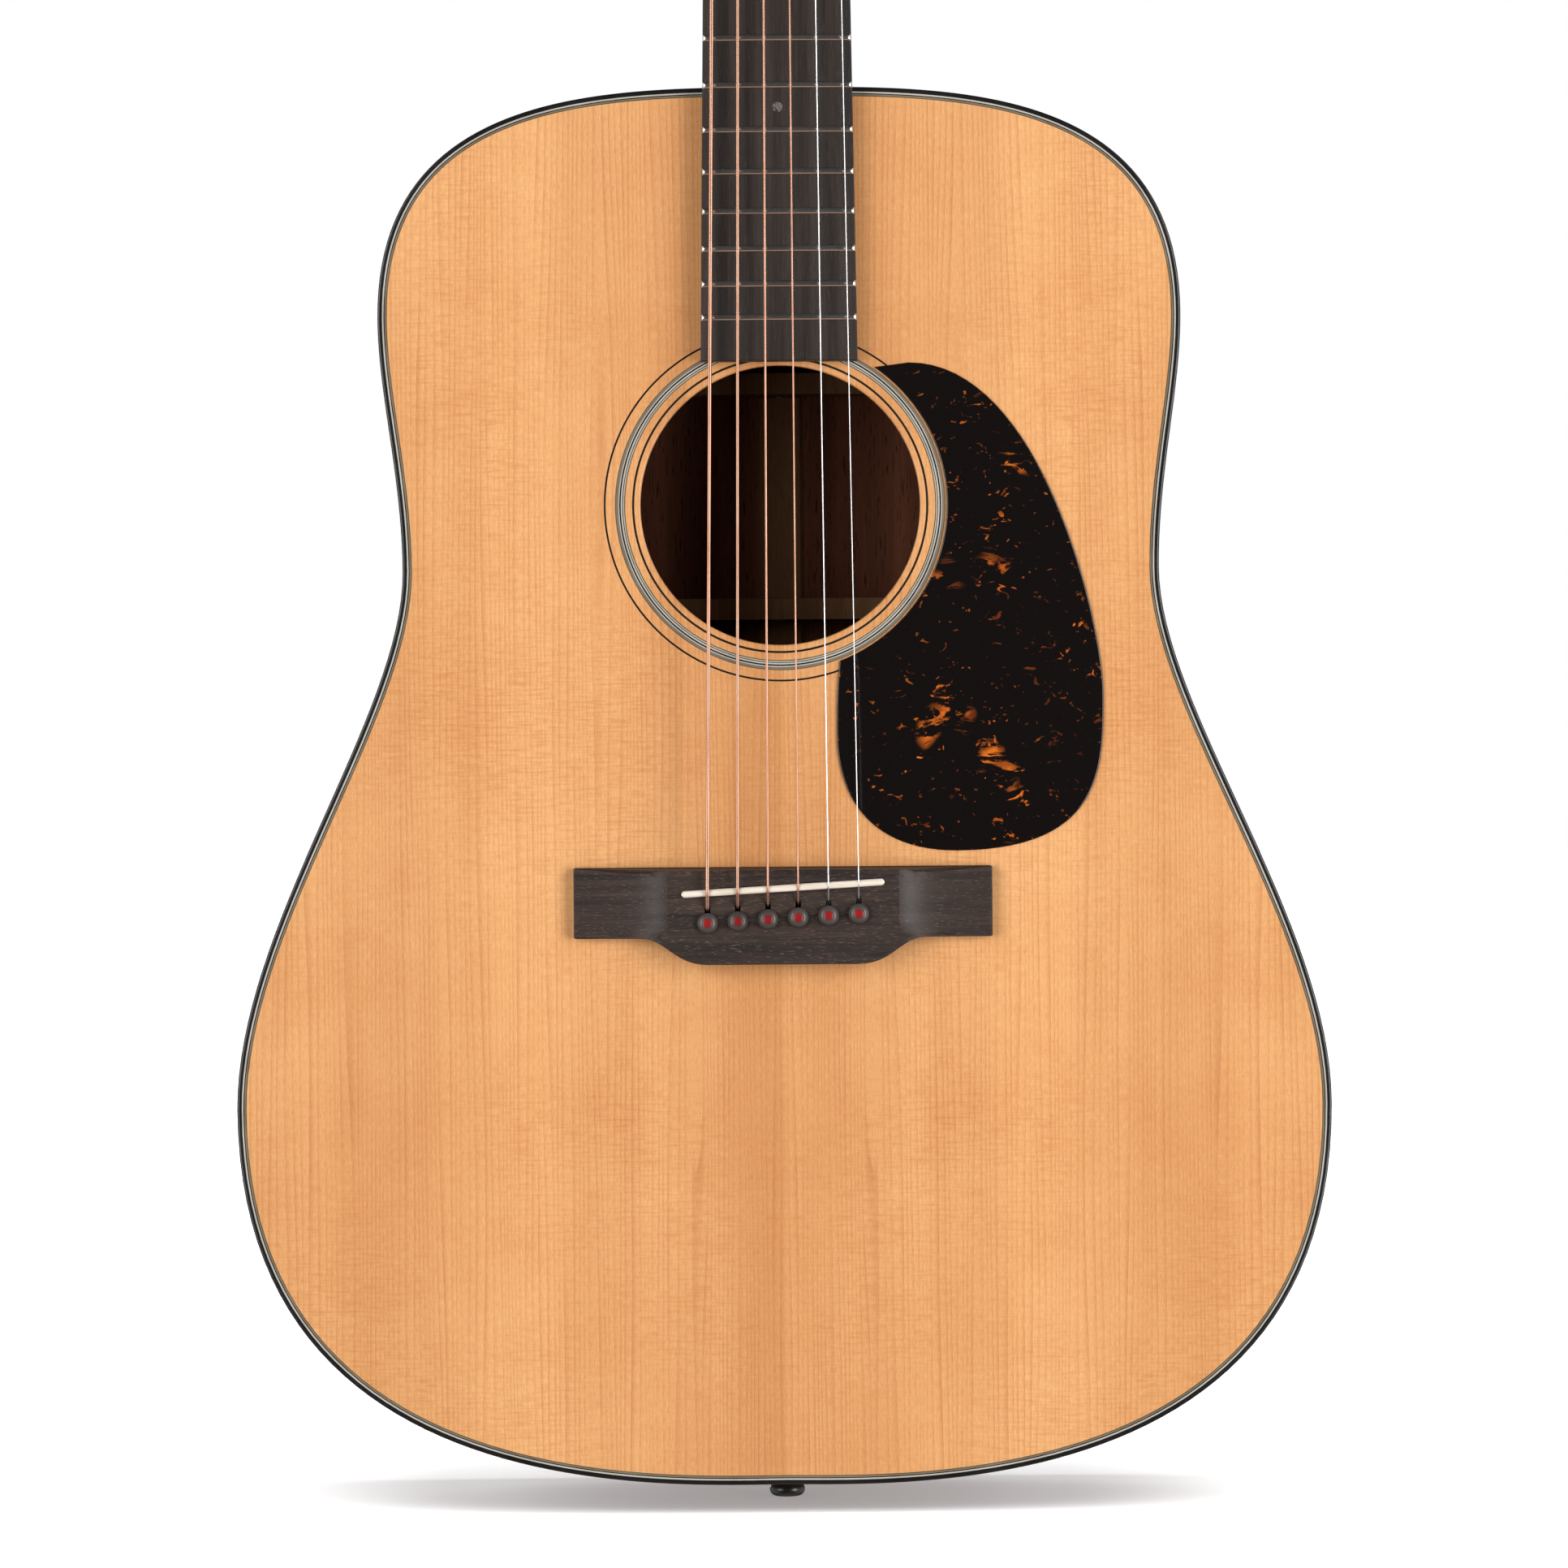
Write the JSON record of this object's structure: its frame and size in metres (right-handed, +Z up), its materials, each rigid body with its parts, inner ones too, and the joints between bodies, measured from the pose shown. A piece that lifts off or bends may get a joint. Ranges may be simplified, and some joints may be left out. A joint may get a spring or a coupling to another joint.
{
  "type": "acoustic guitar",
  "caption": "Steel-string flat-top acoustic guitar, dreadnought body with a round soundhole, pickguard, pin bridge and geared tuners on a solid headstock.",
  "frame": {"origin": "centre of the end pin's flat end face, at the bottom of the body", "axes": "+Z up along the centreline to the headstock, -Y out of the front of the soundboard, +X to the treble side"},
  "size_m": [0.398, 0.1371, 1.0354],
  "materials": {
    "spruce_top": "clear gloss lacquer over honey-coloured straight-grained spruce",
    "inner_spruce": "unfinished quarter-sawn spruce",
    "rosewood": "dark brown streaked rosewood under gloss lacquer",
    "mahogany": "red-brown mahogany under satin lacquer",
    "maple": "unfinished maple",
    "ebony": "oiled ebony with faint brown grain",
    "black_binding": "black binding with white and grey-green purfling lines, polished",
    "rosette_inlay": "black, grey and white ring lines lacquered over",
    "tortoise": "near-black celluloid with orange mottling, polished",
    "bone": "polished off-white bone",
    "pin_plastic": "black moulded plastic, pin heads with a red inlaid dot",
    "nickel": "nickel plate",
    "phosphor_bronze": "bronze wrap wire on a steel core",
    "plain_steel": "bright drawn steel wire, tin plated",
    "rod_steel": "zinc-plated steel"
  },
  "bodies": {
    "root": {"soundboard": "spruce_top", "x_brace": "inner_spruce", "upper_brace": "inner_spruce", "tone_bar_1": "inner_spruce", "tone_bar_2": "inner_spruce", "back_brace_1": "inner_spruce", "back_brace_2": "inner_spruce", "back_brace_3": "inner_spruce", "back_brace_4": "inner_spruce", "back": "rosewood", "side_bass": "rosewood", "side_treble": "rosewood", "headplate": "rosewood", "neck": "mahogany", "neck_block": "mahogany", "end_block": "mahogany", "top_lining": "mahogany", "back_lining": "mahogany", "bridge_plate": "maple", "bridge": "ebony", "fingerboard": "ebony", "top_binding": "black_binding", "back_binding": "black_binding", "rosette": "rosette_inlay", "pickguard": "tortoise", "saddle": "bone", "nut": "bone", "end_pin": "pin_plastic", "tuner_plate_1": "nickel", "tuner_plate_2": "nickel", "tuner_plate_3": "nickel", "tuner_plate_4": "nickel", "tuner_plate_5": "nickel", "tuner_plate_6": "nickel", "string_6": "phosphor_bronze", "string_5": "phosphor_bronze", "string_4": "phosphor_bronze", "string_3": "phosphor_bronze", "string_2": "plain_steel", "string_1": "plain_steel", "truss_rod": "rod_steel"},
    "knob_1": {"tuner_knob_1": "nickel"},
    "post_1": {"tuner_post_1": "nickel"},
    "knob_2": {"tuner_knob_2": "nickel"},
    "post_2": {"tuner_post_2": "nickel"},
    "knob_3": {"tuner_knob_3": "nickel"},
    "post_3": {"tuner_post_3": "nickel"},
    "knob_4": {"tuner_knob_4": "nickel"},
    "post_4": {"tuner_post_4": "nickel"},
    "knob_5": {"tuner_knob_5": "nickel"},
    "post_5": {"tuner_post_5": "nickel"},
    "knob_6": {"tuner_knob_6": "nickel"},
    "post_6": {"tuner_post_6": "nickel"},
    "pin_1": {"bridge_pin_1": "pin_plastic"},
    "pin_2": {"bridge_pin_2": "pin_plastic"},
    "pin_3": {"bridge_pin_3": "pin_plastic"},
    "pin_4": {"bridge_pin_4": "pin_plastic"},
    "pin_5": {"bridge_pin_5": "pin_plastic"},
    "pin_6": {"bridge_pin_6": "pin_plastic"},
    "rod_nut": {"truss_rod_nut": "rod_steel"}
  },
  "joints": [
    {"name": "knob_1_turn", "type": "hinge", "parent": "root", "child": "knob_1", "pos_m": [0.02063, -0.03196, 0.92139], "axis": [1, 0, 0], "continuous": true},
    {"name": "post_1_turn", "type": "hinge", "parent": "root", "child": "post_1", "pos_m": [0.02063, -0.03835, 0.9153], "axis": [0, 0.9659, -0.2588], "continuous": true},
    {"name": "knob_2_turn", "type": "hinge", "parent": "root", "child": "knob_2", "pos_m": [0.02242, -0.0216, 0.96003], "axis": [1, 0, 0], "continuous": true},
    {"name": "post_2_turn", "type": "hinge", "parent": "root", "child": "post_2", "pos_m": [0.02242, -0.028, 0.95394], "axis": [0, 0.9659, -0.2588], "continuous": true},
    {"name": "knob_3_turn", "type": "hinge", "parent": "root", "child": "knob_3", "pos_m": [0.02421, -0.01125, 0.99867], "axis": [1, 0, 0], "continuous": true},
    {"name": "post_3_turn", "type": "hinge", "parent": "root", "child": "post_3", "pos_m": [0.02421, -0.01765, 0.99257], "axis": [0, 0.9659, -0.2588], "continuous": true},
    {"name": "knob_4_turn", "type": "hinge", "parent": "root", "child": "knob_4", "pos_m": [-0.02421, -0.01125, 0.99867], "axis": [1, 0, 0], "continuous": true},
    {"name": "post_4_turn", "type": "hinge", "parent": "root", "child": "post_4", "pos_m": [-0.02421, -0.01765, 0.99257], "axis": [0, 0.9659, -0.2588], "continuous": true},
    {"name": "knob_5_turn", "type": "hinge", "parent": "root", "child": "knob_5", "pos_m": [-0.02242, -0.0216, 0.96003], "axis": [1, 0, 0], "continuous": true},
    {"name": "post_5_turn", "type": "hinge", "parent": "root", "child": "post_5", "pos_m": [-0.02242, -0.028, 0.95394], "axis": [0, 0.9659, -0.2588], "continuous": true},
    {"name": "knob_6_turn", "type": "hinge", "parent": "root", "child": "knob_6", "pos_m": [-0.02063, -0.03196, 0.92139], "axis": [1, 0, 0], "continuous": true},
    {"name": "post_6_turn", "type": "hinge", "parent": "root", "child": "post_6", "pos_m": [-0.02063, -0.03835, 0.9153], "axis": [0, 0.9659, -0.2588], "continuous": true},
    {"name": "pin_1_pull", "type": "slide", "parent": "root", "child": "pin_1", "axis": [0, -1, 0], "range_m": [0, 0.03]},
    {"name": "pin_2_pull", "type": "slide", "parent": "root", "child": "pin_2", "axis": [0, -1, 0], "range_m": [0, 0.03]},
    {"name": "pin_3_pull", "type": "slide", "parent": "root", "child": "pin_3", "axis": [0, -1, 0], "range_m": [0, 0.03]},
    {"name": "pin_4_pull", "type": "slide", "parent": "root", "child": "pin_4", "axis": [0, -1, 0], "range_m": [0, 0.03]},
    {"name": "pin_5_pull", "type": "slide", "parent": "root", "child": "pin_5", "axis": [0, -1, 0], "range_m": [0, 0.03]},
    {"name": "pin_6_pull", "type": "slide", "parent": "root", "child": "pin_6", "axis": [0, -1, 0], "range_m": [0, 0.03]},
    {"name": "rod_nut_turn", "type": "hinge", "parent": "root", "child": "rod_nut", "pos_m": [0, -0.0545, 0.4497], "axis": [0, 0, 1], "range_deg": [-180, 180]}
  ],
  "couplings": [
    {"joint": "post_1_turn", "follows": "knob_1_turn", "ratio": -0.071429},
    {"joint": "post_2_turn", "follows": "knob_2_turn", "ratio": -0.071429},
    {"joint": "post_3_turn", "follows": "knob_3_turn", "ratio": -0.071429},
    {"joint": "post_4_turn", "follows": "knob_4_turn", "ratio": 0.071429},
    {"joint": "post_5_turn", "follows": "knob_5_turn", "ratio": 0.071429},
    {"joint": "post_6_turn", "follows": "knob_6_turn", "ratio": 0.071429}
  ]
}
